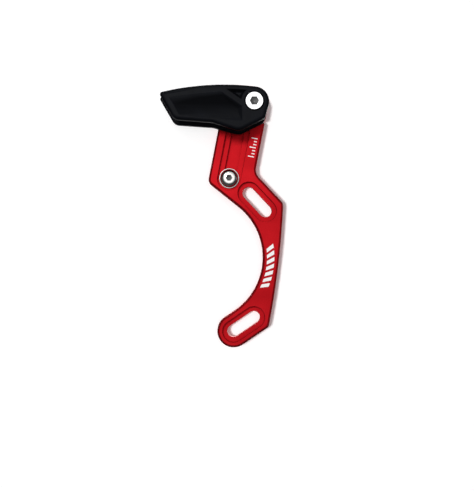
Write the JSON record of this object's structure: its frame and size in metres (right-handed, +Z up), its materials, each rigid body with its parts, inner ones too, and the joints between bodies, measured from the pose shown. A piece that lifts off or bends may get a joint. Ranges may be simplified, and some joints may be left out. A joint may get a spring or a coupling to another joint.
{
  "type": "bicycle chain guide",
  "caption": "Bicycle chain guide: a curved slotted backplate bolts round the bottom bracket, and a moulded channel above it slides to suit the chainring.",
  "frame": {"origin": "on the bottom bracket's axis, in the plane of the backplate's rear face", "axes": "+X forward along the bicycle, +Y inboard along the bottom bracket's axis, +Z up"},
  "size_m": [0.0638, 0.0234, 0.1337],
  "materials": {
    "red_anodised": "satin anodised",
    "black_moulding": "satin",
    "bright_steel": "bright plated",
    "stainless_steel": "polished"
  },
  "bodies": {
    "plate": {"backplate": "red_anodised"},
    "carrier": {"slider": "red_anodised", "inner_guide": "black_moulding", "outer_guide": "black_moulding", "guide_bolt": "bright_steel", "clamp_bolt": "stainless_steel", "clamp_washer": "stainless_steel"}
  },
  "joints": [
    {"name": "guide_height", "type": "slide", "parent": "plate", "child": "carrier", "axis": [0.1908, 0, 0.9816], "range_m": [0, 0.0235]}
  ]
}
